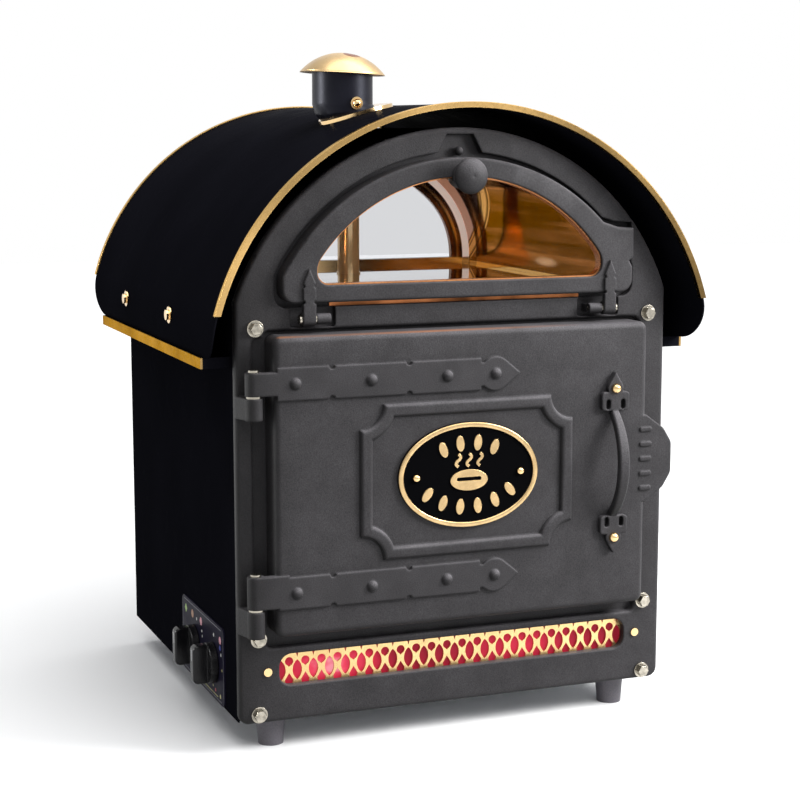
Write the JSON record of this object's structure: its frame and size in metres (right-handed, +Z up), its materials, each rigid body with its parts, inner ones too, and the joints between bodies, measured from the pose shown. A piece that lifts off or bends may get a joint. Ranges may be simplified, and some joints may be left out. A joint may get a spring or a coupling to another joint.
{
  "type": "baked potato oven",
  "caption": "Counter-top potato baking oven with a cast arched front, hinged oven door, drop-down display window, lit grille, round-topped canopy and chimney.",
  "frame": {"origin": "on the floor under the middle of the oven's overall box", "axes": "+Z up; -Y out of the cast front, towards the user; +X to the user's right"},
  "size_m": [0.502, 0.5187, 0.6486],
  "materials": {
    "iron": "matt textured black",
    "gloss_navy": "gloss",
    "control_navy": "satin",
    "brass": "satin",
    "polished_brass": "polished",
    "nickel": "bright",
    "galvanised": "dull",
    "stainless": "brushed",
    "mirror_steel": "mirror polished",
    "rack_chrome": "bright",
    "element_steel": "oxidised",
    "clear_glass": "clear",
    "lamp_glass": "frosted",
    "red_lens": "translucent",
    "black_plastic": "fine texture",
    "foot_plastic": "moulded",
    "switch_plastic": "moulded",
    "spindle_steel": "turned",
    "wool": "felted",
    "seal": "soft"
  },
  "bodies": {
    "oven": {"barrel_skin": "gloss_navy", "base_tray": "galvanised", "cable_gland": "black_plastic", "canopy": "gloss_navy", "canopy_rail_left": "brass", "canopy_rail_right": "brass", "canopy_screws": "polished_brass", "canopy_spacers": "galvanised", "canopy_trim_front": "brass", "canopy_trim_rear": "brass", "catch_ball": "iron", "chimney": "gloss_navy", "chimney_cap": "polished_brass", "chimney_ring": "polished_brass", "chimney_screw": "polished_brass", "control_plate": "control_navy", "display_column": "brass", "display_floor": "mirror_steel", "display_lamp": "lamp_glass", "display_liner": "stainless", "door_hinge_pins": "nickel", "element_lower": "element_steel", "element_upper": "element_steel", "feet": "foot_plastic", "front_bolts": "nickel", "front_casting": "iron", "grille": "brass", "grille_diffuser": "red_lens", "grille_lamp": "lamp_glass", "grille_screws": "polished_brass", "insulation": "wool", "lamp_holders": "galvanised", "oven_liner": "stainless", "oven_rack_lower": "rack_chrome", "oven_rack_upper": "rack_chrome", "rear_arch_frame": "brass", "rear_glass": "clear_glass", "rear_panel": "galvanised", "selector_switch": "switch_plastic", "shelf_runners": "stainless", "side_panel_left": "gloss_navy", "side_panel_right": "gloss_navy", "sill_strip": "brass", "thermostat": "switch_plastic", "window_hinge_pins": "nickel"},
    "door": {"oven_door": "iron", "door_liner": "galvanised", "door_gasket": "seal", "badge": "brass", "badge_screws": "polished_brass", "door_handle": "iron", "handle_nuts": "polished_brass"},
    "window": {"window_frame": "iron", "window_glass": "clear_glass", "window_bezel": "brass", "window_knob": "iron"},
    "thermostat_dial": {"thermostat_knob": "black_plastic", "thermostat_spindle": "spindle_steel"},
    "selector_dial": {"selector_knob": "black_plastic", "selector_spindle": "spindle_steel"}
  },
  "joints": [
    {"name": "door_hinge", "type": "hinge", "parent": "oven", "child": "door", "pos_m": [-0.207, -0.22635, 0.254], "axis": [0, 0, -1], "range_deg": [0, 110]},
    {"name": "window_hinge", "type": "hinge", "parent": "oven", "child": "window", "pos_m": [0, -0.21635, 0.406], "axis": [1, 0, 0], "range_deg": [0, 90]},
    {"name": "thermostat_turn", "type": "hinge", "parent": "oven", "child": "thermostat_dial", "pos_m": [-0.225, -0.12385, 0.067], "axis": [-1, 0, 0], "range_deg": [0, 270]},
    {"name": "selector_turn", "type": "hinge", "parent": "oven", "child": "selector_dial", "pos_m": [-0.225, -0.05535, 0.067], "axis": [-1, 0, 0], "range_deg": [0, 180]}
  ]
}
